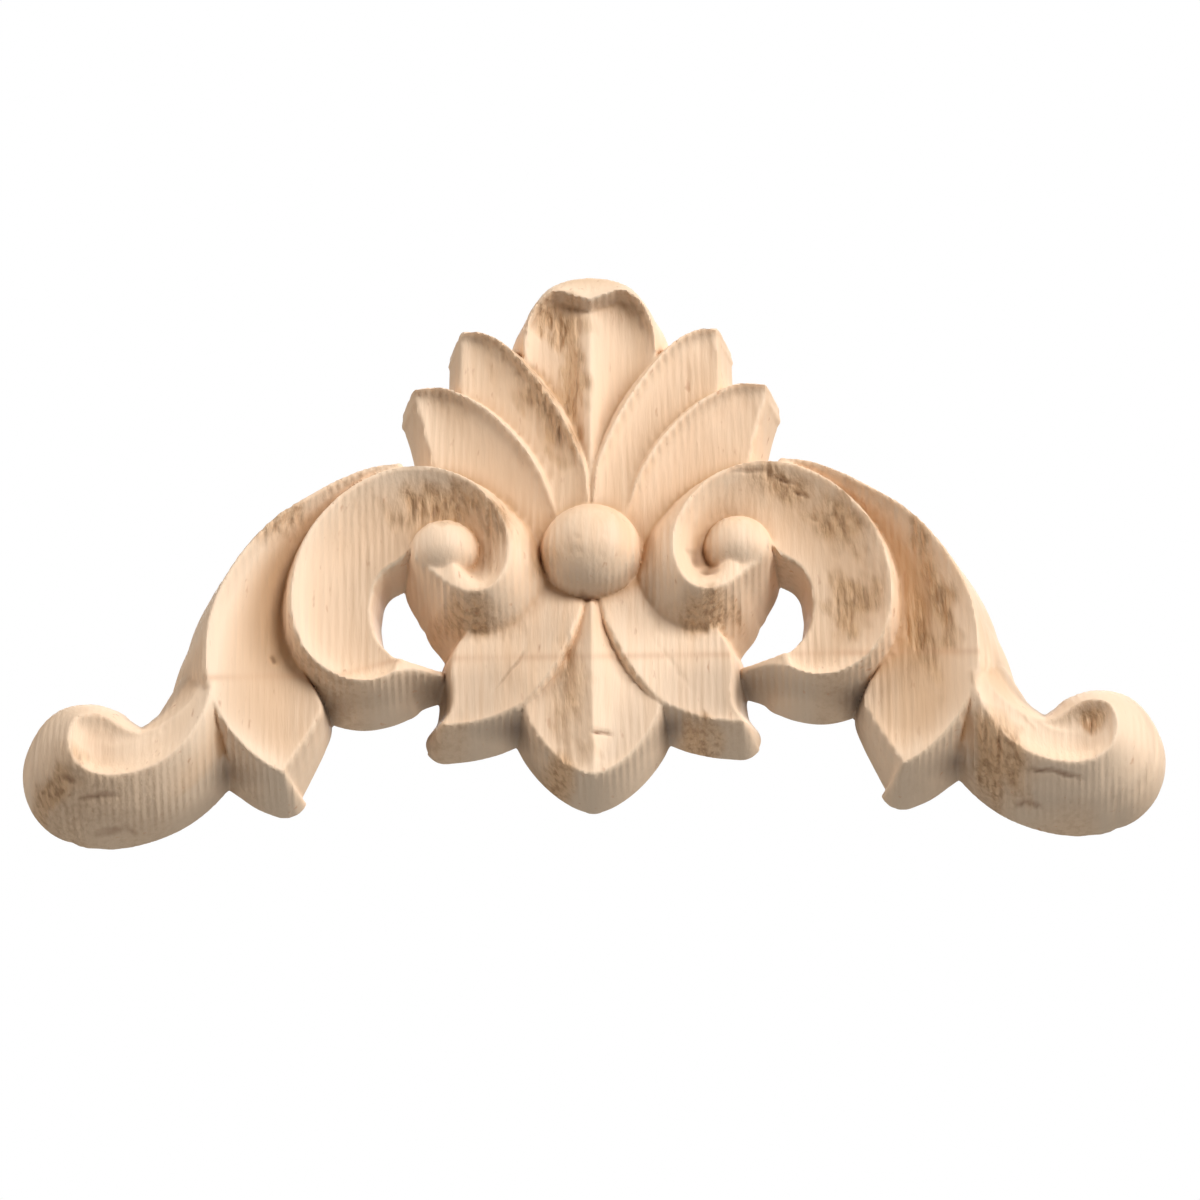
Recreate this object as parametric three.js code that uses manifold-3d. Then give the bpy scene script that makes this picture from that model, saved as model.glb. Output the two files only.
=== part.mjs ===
// Carved corner onlay in one piece of wood: a fan of petals over a round boss,
// a volute and a C leaf each side, a long arm leaf and a scroll foot at each end,
// and three short leaves below. The relief is drawn in the plane of the face,
// x to the right, y up and z out of the face, and is turned upright at the end,
// so that +Z is up and the flat back lies in the plane y = 0.

import * as THREE from 'three';
import * as BufferGeometryUtils from 'three/addons/utils/BufferGeometryUtils.js';
import Module from 'manifold-3d';

const wasm = await Module();
wasm.setup();

// Sizes in millimetres
const width = 118.2; // over the two scroll feet
const height = 66.2; // from the lowest scroll foot to the top petal
const thickness = 10.1; // from the flat back to the top of the boss
const bossRadius = 5.15; // round boss in the middle
const bossRise = 3.7; // the boss's top over its widest place
const eyeRadius = 3.4; // round eye of each volute
const eyeRise = 2.5; // the eye's top over its widest place
const wallSlope = 0.3; // run of a side wall for each millimetre of its height
const overlapBelow = 1.5; // how far the leaves run on below the back before the back is cut

// The free form keeps its proportions: its points are drawn at one size and
// stretched to the three sizes above.
const drawnWidth = 118.2;
const drawnHeight = 66.2;
const drawnThickness = 10.1;
const across = width / drawnWidth;
const upward = height / drawnHeight;
const outward = thickness / drawnThickness;

const bossCentre = { x: 0, y: 0.1 };
const eyeCentre = { x: 15.3, y: -0.1, foot: 6.9 };

// A smooth curve through the rows' first three numbers, or through the last
// three, read at count even steps.
function rail(rows, first, count) {
  const points = rows.map((row) => new THREE.Vector3(
    row[first] * across, row[first + 1] * upward, row[first + 2] * outward));
  const curve = new THREE.CatmullRomCurve3(points, false, 'catmullrom', 0.5);
  return Array.from({ length: count }, (_, i) => curve.getPoint(i / (count - 1)));
}

// One number read between the values of a list, at a share of its length
function along(list, share) {
  const place = share * (list.length - 1);
  const i = Math.min(Math.floor(place), Math.max(list.length - 2, 0));
  const next = Math.min(i + 1, list.length - 1);
  return list[i] + (list[next] - list[i]) * (place - i);
}

function closedGeometry(points, triangles) {
  const geometry = new THREE.BufferGeometry();
  geometry.setAttribute('position', new THREE.Float32BufferAttribute(
    points.flatMap((p) => [p.x, p.y, p.z]), 3));
  geometry.setIndex(triangles.flat());
  return geometry;
}

// A closed mesh as a solid, with its faces turned outward
function toSolid(source) {
  let geometry = source.clone();
  geometry.deleteAttribute('normal');
  geometry.deleteAttribute('uv');
  geometry = BufferGeometryUtils.mergeVertices(geometry, 1e-5);
  const p = geometry.attributes.position.array;
  const index = geometry.index.array;
  const kept = [];
  let volume = 0;
  for (let i = 0; i < index.length; i += 3) {
    const [a, b, c] = [index[i], index[i + 1], index[i + 2]];
    if (a === b || b === c || c === a) continue;
    kept.push(a, b, c);
    const at = (n) => new THREE.Vector3(p[3 * n], p[3 * n + 1], p[3 * n + 2]);
    volume += at(a).dot(at(b).cross(at(c))) / 6;
  }
  if (volume < 0) {
    for (let i = 0; i < kept.length; i += 3) [kept[i], kept[i + 1]] = [kept[i + 1], kept[i]];
  }
  return new wasm.Manifold(new wasm.Mesh({
    numProp: 3,
    vertProperties: new Float32Array(p),
    triVerts: new Uint32Array(kept),
  }));
}

// A leaf lies between two rails. Its top sinks between them by sag, deepest near
// the first rail where skew is above 0, and walls fall from its outline to below
// the back. rows hold one rail in their first three numbers and the other in
// their last three; rows2 may hold the other rail with its own number of points.
function leaf({ rows, rows2 = null, sag, steps, cells = 4, first = [1], last = [1],
  start = 1, end = 1, belly = 0, skew = [0] }) {
  const one = rail(rows, 0, steps + 1);
  const two = rows2 ? rail(rows2, 0, steps + 1) : rail(rows, 3, steps + 1);
  const points = [];
  const grid = one.map((p, i) => {
    const sink = along(sag, i / steps) * outward;
    const power = 2 ** -along(skew, i / steps);
    return Array.from({ length: cells + 1 }, (_, j) => {
      const v = j / cells;
      const w = v ** power;
      const q = p.clone().lerp(two[i], v);
      q.z -= sink * 4 * w * (1 - w);
      points.push(q);
      return points.length - 1;
    });
  });

  // The outline once round, with the slope of the wall at each point
  const outline = [];
  for (let i = 0; i <= steps; i += 1) outline.push([grid[i][0], along(first, i / steps)]);
  for (let j = 1; j <= cells; j += 1) outline.push([grid[steps][j], end]);
  for (let i = steps - 1; i >= 0; i -= 1) outline.push([grid[i][cells], along(last, i / steps)]);
  for (let j = cells - 1; j > 0; j -= 1) outline.push([grid[0][j], start]);

  const count = outline.length;
  const at = (n) => points[outline[(n + count) % count][0]];
  let area = 0;
  for (let n = 0; n < count; n += 1) area += at(n).x * at(n + 1).y - at(n + 1).x * at(n).y;
  const turn = Math.sign(area);
  const facing = (a, b) => {
    const d = new THREE.Vector2(b.y - a.y, a.x - b.x);
    return d.length() > 1e-6 ? d.normalize().multiplyScalar(turn) : d.set(0, 0);
  };

  // Rings of the wall, from just below the outline down past the back
  const levels = belly > 0 ? [0.15, 0.45, 0.8, 1] : [1];
  const rings = [outline.map((o) => o[0])];
  levels.forEach((level) => {
    rings.push(outline.map(([, slope], n) => {
      const p = at(n);
      const normal = facing(at(n - 1), p).add(facing(p, at(n + 1)));
      if (normal.length() > 0.3) normal.normalize();
      const drop = p.z + overlapBelow;
      const run = drop * (slope * wallSlope * level + belly * 0.5 * Math.sin(Math.PI * level));
      points.push(new THREE.Vector3(
        p.x + normal.x * run, p.y + normal.y * run, p.z - drop * level));
      return points.length - 1;
    }));
  });

  const triangles = [];
  const quad = (a, b, c, d) => triangles.push([a, b, c], [a, c, d]);
  for (let i = 0; i < steps; i += 1) {
    for (let j = 0; j < cells; j += 1) {
      quad(grid[i][j], grid[i + 1][j], grid[i + 1][j + 1], grid[i][j + 1]);
    }
  }
  for (let k = 0; k + 1 < rings.length; k += 1) {
    for (let n = 0; n < count; n += 1) {
      const m = (n + 1) % count;
      quad(rings[k][m], rings[k][n], rings[k + 1][n], rings[k + 1][m]);
    }
  }

  // The underside has the top's pattern, bordered by the lowest ring
  const under = grid.map((row) => row.slice());
  outline.forEach(([top], n) => {
    grid.forEach((row, i) => row.forEach((id, j) => {
      if (id === top) under[i][j] = rings[rings.length - 1][n];
    }));
  });
  for (let i = 1; i < steps; i += 1) {
    for (let j = 1; j < cells; j += 1) {
      const p = points[grid[i][j]];
      points.push(new THREE.Vector3(p.x, p.y, -overlapBelow));
      under[i][j] = points.length - 1;
    }
  }
  for (let i = 0; i < steps; i += 1) {
    for (let j = 0; j < cells; j += 1) {
      quad(under[i][j], under[i][j + 1], under[i + 1][j + 1], under[i + 1][j]);
    }
  }
  return closedGeometry(points, triangles);
}

// A dome on a short round foot that runs down past the back
function dome(radius, rise, foot) {
  const profile = [new THREE.Vector2(0, -overlapBelow), new THREE.Vector2(radius, -overlapBelow)];
  const rings = 6;
  for (let i = 0; i <= rings; i += 1) {
    const angle = (Math.PI / 2) * (i / rings);
    profile.push(new THREE.Vector2(
      i === rings ? 0 : radius * Math.cos(angle), foot + rise * Math.sin(angle)));
  }
  const geometry = new THREE.LatheGeometry(profile, 24);
  geometry.rotateX(Math.PI / 2);
  return geometry;
}

// Volute and C leaf: from the top of the scroll hole round the eye, over the
// shoulder and down to the leaf's tip. Outer rail, then inner rail.
const ribbon = [
  [18.6, -0.6, 6.5, 16.5, 0.5, 6.2],
  [17.9, -1.6, 7.1, 15.6, 0.5, 6.2],
  [16.9, -2.8, 7.8, 15.0, 0.4, 6.1],
  [15.5, -4.2, 8.3, 14.8, 0.4, 6.1],
  [14.0, -5.6, 8.9, 14.8, 0.4, 6.1],
  [12.2, -6.4, 9.4, 14.8, 0.4, 6.1],
  [10.4, -5.9, 9.6, 14.8, 0.4, 6.1],
  [9.1, -4.2, 9.7, 14.8, 0.4, 6.1],
  [8.5, -1.5, 9.7, 14.8, 0.4, 6.1],
  [8.9, 1.5, 9.5, 14.8, 0.4, 6.1],
  [10.2, 4.3, 9.3, 14.8, 0.6, 6.3],
  [12.1, 6.6, 9.1, 15.2, 1.0, 6.6],
  [14.4, 8.1, 8.9, 16.1, 1.3, 6.9],
  [17.0, 8.9, 8.8, 17.2, 1.2, 6.9],
  [20.0, 8.9, 8.7, 18.7, 0.1, 6.6],
  [22.6, 8.0, 8.7, 19.9, -1.1, 6.2],
  [25.1, 6.4, 8.8, 21.0, -1.7, 6.0],
  [27.3, 4.2, 8.9, 21.9, -2.5, 5.9],
  [29.1, 1.6, 9.0, 22.5, -3.5, 5.8],
  [30.4, -1.6, 9.0, 22.8, -4.7, 5.7],
  [31.0, -5.1, 8.9, 23.0, -6.0, 5.6],
  [30.9, -8.4, 8.6, 22.9, -7.4, 5.5],
  [30.0, -11.3, 8.1, 22.6, -8.8, 5.5],
  [28.5, -13.3, 7.6, 22.1, -10.0, 5.5],
  [26.3, -14.7, 7.1, 21.4, -10.9, 5.5],
  [23.9, -15.2, 6.8, 20.8, -11.6, 5.6],
  [21.8, -14.7, 6.5, 20.1, -12.1, 5.7],
  [20.2, -13.8, 6.3, 19.5, -12.4, 5.9],
];

// Scroll foot: a neck that leaves the arm, then the head that curls round a dish
const foot = [
  [39.0, -15.8, 8.7, 39.8, -14.8, 8.5],
  [39.2, -17.3, 8.8, 40.4, -16.3, 8.2],
  [39.6, -19.0, 8.8, 41.2, -17.7, 7.9],
  [40.5, -21.0, 8.7, 42.3, -18.9, 7.6],
  [41.9, -23.1, 8.6, 43.6, -19.8, 7.3],
  [44.1, -25.0, 8.5, 45.0, -20.6, 7.0],
  [46.6, -26.1, 8.5, 47.0, -21.9, 7.1],
  [49.1, -26.5, 8.6, 49.0, -22.4, 7.1],
  [51.2, -26.2, 8.8, 49.6, -22.5, 7.1],
  [52.7, -25.1, 9.1, 49.6, -22.5, 7.1],
  [53.4, -23.5, 9.3, 49.6, -22.5, 7.1],
  [53.4, -21.8, 9.4, 49.6, -22.5, 7.1],
  [52.7, -20.5, 9.3, 49.6, -22.5, 7.1],
  [51.4, -19.9, 8.9, 49.6, -22.5, 7.1],
  [50.0, -19.9, 8.3, 49.6, -22.5, 7.1],
  [48.8, -20.3, 7.7, 49.6, -22.5, 7.1],
];

const rightHalf = [
  leaf({ rows: ribbon.slice(0, 4), sag: [0, 0.2, 0.5, 0.9], steps: 5,
    first: [0.7, 0.9, 1, 1.3], end: 0.2 }),
  leaf({ rows: ribbon.slice(3, 11), sag: [0.9, 1.2, 1.3, 1.2, 1.1], steps: 16,
    first: [1.3, 1.6, 2.1, 2.7, 3, 2.6, 2], start: 0.2, end: 0.2 }),
  leaf({ rows: ribbon.slice(10), sag: [1.1, 1, 1, 1.1, 1.1, 1, 1, 0.8, 0.6, 0.1],
    steps: 28, first: [2, 1.2, 1, 1, 1, 1, 1, 1, 1.2, 1.5], last: [0.5], start: 0.2 }),
  // The C leaf's tip, which runs down to the side leaf
  leaf({ rows: [[20.6, -14.1, 6.3], [18.4, -13.3, 5.2], [15.6, -13.1, 3.3]],
    rows2: [[20.0, -12.1, 5.9], [18.0, -12.4, 4.9], [15.6, -12.5, 3.3]],
    sag: [0], steps: 4, cells: 2, first: [1.4], last: [0.5] }),
  // Arm leaf, from the shoulder down to its pointed tip
  leaf({ rows: [[19.9, 9.6, 8.3], [22.9, 9.1, 8.4], [26.1, 7.7, 8.5], [29.2, 5.8, 8.6],
    [32.6, 3.3, 8.8], [35.3, 0.2, 8.9], [37.4, -3.2, 9.0], [38.9, -6.8, 9.1],
    [39.6, -10.3, 9.1], [39.7, -13.7, 9.0], [39.5, -16.0, 8.8], [38.8, -18.1, 8.4],
    [37.7, -20.3, 7.9], [36.0, -22.4, 7.3], [33.8, -24.3, 6.7], [31.8, -25.3, 6.1]],
  rows2: [[20.4, 8.0, 7.8], [24.1, 5.9, 7.1], [27.2, 2.5, 6.4], [29.6, -1.1, 5.9],
    [31.2, -5.1, 5.6], [31.4, -8.5, 5.4], [30.8, -11.3, 5.2], [29.6, -13.7, 5.1],
    [28.5, -15.5, 5.0], [28.0, -17.4, 5.0], [28.8, -19.6, 5.2], [30.2, -22.3, 5.6],
    [31.7, -25.0, 6.0]],
  sag: [0.3, 0.6, 0.8, 0.9, 0.9, 0.8, 0.6, 0], steps: 24,
  first: [1, 1, 1, 1.05, 1.1, 1.1, 1.6, 1.6, 1.2, 1.1, 1.25], last: [0.5, 0.5, 0.5, 0.6, 0.9], end: 1.2 }),
  leaf({ rows: foot.slice(0, 9), sag: [0, 0.2, 0.4, 0.5, 0.6], steps: 16, belly: 0.28,
    first: [1, 1.1, 1.2, 1.4, 1.5], last: [1.65, 1.65, 1.4, 1.2, 1.2], end: 0.2 }),
  leaf({ rows: foot.slice(8), sag: [0.6, 0.6, 0.5, 0.3], steps: 15, belly: 0.28,
    first: [1.5, 1.7, 1.8, 1.7, 1.3, 1], start: 0.2, end: 1 }),
  // Mouth of the dish, between the neck and the head
  leaf({ rows: [[43.6, -19.8, 7.3], [45.0, -20.6, 7.1], [46.4, -21.0, 7.1],
    [47.6, -20.8, 7.3], [48.8, -20.3, 7.7]],
  rows2: [[46.0, -22.9, 7.0], [47.5, -22.8, 7.0], [49.6, -22.5, 7.1]],
  sag: [0, 0.2, 0.2], steps: 6, cells: 2, belly: 0.28, last: [0.2], start: 0.2, end: 0.2 }),
  // Lower petal of the fan
  leaf({ rows: [[3.0, 2.0, 6.2], [4.8, 7.6, 7.2], [6.5, 11.1, 7.4], [8.6, 14.1, 7.3],
    [11.1, 16.8, 7.1], [13.5, 18.6, 6.8], [15.8, 19.7, 6.5], [18.5, 19.8, 6.2]],
  rows2: [[5.5, -2.0, 5.4], [9.0, 2.5, 5.8], [12.0, 5.5, 5.7], [14.5, 8.0, 5.5],
    [16.3, 10.0, 5.4], [17.0, 13.0, 5.2], [17.7, 16.0, 5.1], [18.4, 18.7, 5.3]],
  sag: [0.2, 0.8, 1.1, 1.2, 1.2, 1, 0.4], skew: [0.5, 0.8], steps: 16,
  first: [1.8, 1.8, 1.8, 1.6, 1.1, 0.8], end: 1.1 }),
  // Upper petal of the fan
  leaf({ rows: [[0.2, 4.5, 7.2], [0.6, 8.8, 7.6], [1.6, 12.0, 7.6], [3.1, 15.6, 7.5],
    [5.1, 19.3, 7.3], [7.4, 22.8, 7.0], [9.5, 25.1, 6.8], [11.6, 26.4, 6.5], [13.5, 26.7, 6.2]],
  rows2: [[3.0, 2.5, 6.6], [5.0, 7.4, 6.5], [7.2, 11.4, 6.2], [9.8, 14.8, 5.8],
    [12.6, 17.6, 5.4], [13.6, 20.2, 5.2], [13.6, 23.2, 5.1], [13.5, 25.7, 5.3]],
  sag: [0.2, 0.7, 1.1, 1.2, 1.2, 1, 0.4], skew: [0.5, 0.8], steps: 16,
  first: [1.8, 1.8, 1.8, 1.6, 1.1, 0.8], end: 1.1 }),
  // Half of the top petal, a flute beside its middle ridge
  leaf({ rows: [[2.0, 4.0, 6.2], [3.2, 10.0, 6.2], [4.8, 15.5, 5.8], [6.3, 20.5, 5.6],
    [6.9, 24.0, 5.8], [6.8, 26.6, 6.1], [6.0, 28.9, 6.5], [4.8, 30.4, 6.9], [3.4, 31.0, 7.0],
    [1.7, 30.4, 7.0], [-0.05, 29.8, 7.0]],
  rows2: [[-0.05, 4.0, 6.8], [-0.05, 10.0, 7.2], [-0.05, 16.2, 7.0], [-0.05, 22.0, 6.4],
    [-0.05, 26.5, 5.9], [-0.05, 28.6, 5.7], [-0.05, 29.2, 5.7], [-0.05, 29.6, 6.8]],
  sag: [0.3, 0.8, 1.2, 1.5, 1.7, 1.6, 1.2, 0.2], skew: [0, 0, 0, 0.2, 0.6, 1, 1.2, 1.2],
  steps: 20 }),
  // Half of the top petal's lip, which curls back
  leaf({ rows: [[6.95, 24.4, 5.0], [6.9, 26.0, 4.9], [6.8, 28.3, 4.9], [5.9, 30.5, 4.8],
    [4.4, 32.6, 4.6], [2.3, 33.8, 4.4], [-0.6, 34.5, 4.3]],
  rows2: [[6.8, 24.4, 5.8], [6.7, 26.6, 6.15], [6.0, 28.8, 6.55], [4.8, 30.3, 6.95],
    [3.4, 31.0, 7.05], [1.7, 30.4, 7.05], [-0.6, 29.7, 7.05]],
  sag: [-0.1, -0.2, -0.3, -0.3], steps: 12, cells: 2, first: [0.85], last: [0.35] }),
  // Side leaf below the volute
  leaf({ rows: [[3.0, 1.0, 5.2], [6.0, -2.5, 5.3], [9.0, -5.5, 5.5], [12.0, -8.0, 5.4],
    [14.0, -10.5, 5.1], [14.5, -13.0, 5.0], [14.3, -15.5, 4.9], [14.5, -17.6, 4.9],
    [15.5, -19.3, 4.8]],
  rows2: [[0.5, -4.0, 5.3], [1.6, -8.4, 6.3], [3.2, -12.2, 6.3], [4.9, -15.0, 5.9],
    [6.9, -17.1, 5.3], [9.6, -18.5, 5.0], [12.5, -19.3, 4.9], [15.3, -19.6, 4.8]],
  sag: [0.1, 0.3, 0.4, 0.4, 0.3, 0], steps: 18, cells: 4,
  first: [1, 1, 1, 1, 1.2, 1.3], last: [1, 1, 1, 1.3, 1.4], end: 1.4 }),
  // Half of the middle leaf at the bottom
  leaf({ rows: [[0.5, -3.0, 5.4], [2.0, -8.0, 5.2], [3.9, -12.5, 5.0], [5.8, -15.6, 5.0],
    [6.9, -17.6, 5.1], [6.2, -19.9, 5.2], [4.9, -22.1, 5.2], [3.2, -24.0, 5.3],
    [1.4, -25.3, 5.5], [-0.05, -25.9, 5.6]],
  rows2: [[-0.05, -3.0, 5.3], [-0.05, -8.0, 6.5], [-0.05, -12.6, 6.9], [-0.05, -17.7, 6.7],
    [-0.05, -22.1, 6.2], [-0.05, -25.7, 5.6]],
  sag: [0.1, 0.3, 0.6, 0.7, 0.5, 0], steps: 18, cells: 4 }),
  // Low ground round the boss
  leaf({ rows: [[-0.05, 9.0, 6.2], [4.0, 8.0, 5.8], [7.5, 5.5, 5.6], [9.0, 1.0, 5.5],
    [8.5, -3.0, 5.4], [6.0, -7.0, 5.4], [-0.05, -8.0, 5.4]],
  rows2: [[-0.05, 6.0, 5.5], [-0.05, 0.0, 5.2], [-0.05, -6.0, 5.2]],
  sag: [0], steps: 10, cells: 2 }),
];

const eye = dome(eyeRadius, eyeRise * outward, eyeCentre.foot * outward);
eye.translate(eyeCentre.x * across, eyeCentre.y * upward, 0);
rightHalf.push(eye);

const boss = dome(bossRadius, bossRise * outward, thickness - bossRise * outward);
boss.translate(bossCentre.x * across, bossCentre.y * upward, 0);

let onlay = toSolid(boss);
rightHalf.forEach((piece) => {
  onlay = onlay.add(toSolid(piece));
  onlay = onlay.add(toSolid(piece.clone().scale(-1, 1, 1)));
});

// The back is cut flat
const front = new THREE.BoxGeometry(2 * width, 2 * height, 2 * thickness);
front.translate(0, 0, thickness);
onlay = onlay.intersect(toSolid(front));

const mesh = onlay.getMesh();
const geometry = new THREE.BufferGeometry();
geometry.setAttribute('position', new THREE.BufferAttribute(
  new Float32Array(mesh.vertProperties), 3));
geometry.setIndex(new THREE.BufferAttribute(new Uint32Array(mesh.triVerts), 1));
geometry.rotateX(Math.PI / 2);
geometry.computeVertexNormals();

const wood = new THREE.MeshStandardMaterial({ color: 0xe2c29c, roughness: 0.75, metalness: 0 });
const cornerOnlay = new THREE.Mesh(geometry, wood);
cornerOnlay.name = 'corner_onlay';

const group = new THREE.Group();
group.add(cornerOnlay);

export default group;
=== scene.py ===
import math
import time

import bmesh
import bpy
import numpy as np
from mathutils import Matrix, Vector


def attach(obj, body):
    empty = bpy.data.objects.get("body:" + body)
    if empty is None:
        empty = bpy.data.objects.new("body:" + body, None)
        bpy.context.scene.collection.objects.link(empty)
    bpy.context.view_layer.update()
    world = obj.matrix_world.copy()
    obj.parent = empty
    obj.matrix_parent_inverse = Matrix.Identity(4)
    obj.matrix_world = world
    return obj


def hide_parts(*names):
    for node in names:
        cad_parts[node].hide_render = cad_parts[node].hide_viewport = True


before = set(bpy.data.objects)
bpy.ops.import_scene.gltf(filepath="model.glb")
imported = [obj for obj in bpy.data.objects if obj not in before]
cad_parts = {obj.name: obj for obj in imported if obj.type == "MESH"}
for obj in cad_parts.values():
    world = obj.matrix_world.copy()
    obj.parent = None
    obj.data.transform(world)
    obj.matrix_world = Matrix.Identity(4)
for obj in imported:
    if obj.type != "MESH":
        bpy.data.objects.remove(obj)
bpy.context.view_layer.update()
startTime = time.time()


def report(stage):
    print("stage: %s, %.1f s" % (stage, time.time() - startTime))


# The relief is drawn in millimetres on the plane of the face: x to the right,
# y up, z out of the face. The mesh is turned upright when it is made.
relief = {
    "halfWidth": 60.0,
    "lowest": -32.2,
    "highest": 36.6,
    "below": 1.5,          # how far the walls run on below the back
    "wallSlope": 0.297,    # run of a wall for each millimetre of its height
    "bellyLevels": [0, 0.06, 0.14, 0.25, 0.4, 0.55, 0.75, 1],  # rings of a bulging wall
    "cornerSteps": 5,      # faces in the fan at each corner of a wall
    "rowHeight": 0.235,    # height of a cell of the mesh
    "finer": 2,            # the surface is first worked out on a grid this much finer
    "softening": (1.1, 0.9),  # its edges are rounded over so many fine columns and rows
    "alongEach": 8,        # places worked out along a leaf for each point of its outer rail
    "across": 17,          # and across it
    "top": 10.08,          # nothing stands higher than the boss
}

# Volute and C leaf in one ribbon: outer rail x, y, z, then inner rail x, y, z
ribbonRows = [
    (18.6, -0.6, 7.2, 16.5, 0.5, 7.2),
    (17.9, -1.6, 7.6, 15.6, 0.5, 7.6),
    (16.9, -2.8, 8.0, 15.0, 0.4, 8.0),
    (15.5, -4.2, 8.3, 14.8, 0.4, 8.0),
    (14.0, -5.6, 8.9, 14.8, 0.4, 7.9),
    (12.2, -6.4, 9.4, 14.8, 0.4, 7.3),
    (10.4, -5.9, 9.6, 14.8, 0.4, 6.5),
    (9.1, -4.2, 9.7, 14.8, 0.4, 6.1),
    (8.5, -1.5, 9.7, 14.8, 0.4, 6.1),
    (8.9, 1.5, 9.5, 14.8, 0.4, 6.1),
    (10.2, 4.3, 9.3, 14.8, 0.6, 6.3),
    (12.1, 6.6, 9.1, 15.2, 1.0, 6.6),
    (14.4, 8.1, 8.9, 16.1, 1.3, 6.9),
    (17.0, 8.9, 8.8, 17.2, 1.2, 6.9),
    (20.0, 8.9, 8.7, 18.7, 0.1, 6.6),
    (22.6, 8.0, 8.7, 19.9, -1.1, 6.2),
    (25.1, 6.4, 8.8, 21.0, -1.7, 6.0),
    (27.3, 4.2, 8.9, 21.9, -2.5, 5.9),
    (29.1, 1.6, 9.0, 22.5, -3.5, 5.8),
    (30.4, -1.6, 9.0, 22.8, -4.7, 5.7),
    (31.0, -5.1, 8.9, 23.0, -6.0, 5.6),
    (30.9, -8.4, 8.6, 22.9, -7.4, 5.5),
    (30.0, -11.3, 8.1, 22.6, -8.8, 5.5),
    (28.5, -13.3, 7.6, 22.1, -10.0, 5.5),
    (26.3, -14.7, 7.1, 21.4, -10.9, 5.5),
    (23.9, -15.2, 6.8, 20.8, -11.6, 5.6),
    (21.8, -14.7, 6.5, 20.1, -12.1, 5.7),
    (20.2, -13.8, 6.3, 19.5, -12.4, 5.9),
]

# Scroll foot: a neck that leaves the arm, then the head that curls round a dish
footRows = [
    (39.0, -15.8, 8.7, 39.8, -14.8, 7.5),
    (39.2, -17.3, 8.8, 40.4, -16.3, 7.7),
    (39.6, -19.0, 8.8, 41.2, -17.7, 7.7),
    (40.5, -21.0, 8.7, 42.3, -18.9, 7.6),
    (41.9, -23.1, 8.6, 43.6, -19.8, 7.3),
    (44.1, -25.0, 8.5, 45.0, -20.6, 7.0),
    (46.6, -26.1, 8.5, 47.0, -21.9, 7.1),
    (49.1, -26.5, 8.6, 49.0, -22.4, 7.1),
    (51.2, -26.2, 8.8, 49.6, -22.5, 7.1),
    (52.7, -25.1, 9.1, 49.6, -22.5, 7.1),
    (53.4, -23.5, 9.3, 49.6, -22.5, 7.1),
    (53.4, -21.8, 9.4, 49.6, -22.5, 7.1),
    (52.8, -20.3, 9.3, 49.6, -22.5, 7.1),
    (51.4, -19.6, 8.9, 49.6, -22.5, 7.1),
    (50.0, -19.6, 8.3, 49.6, -22.5, 7.1),
    (48.8, -20.1, 7.7, 49.6, -22.5, 7.1),
]

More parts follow.
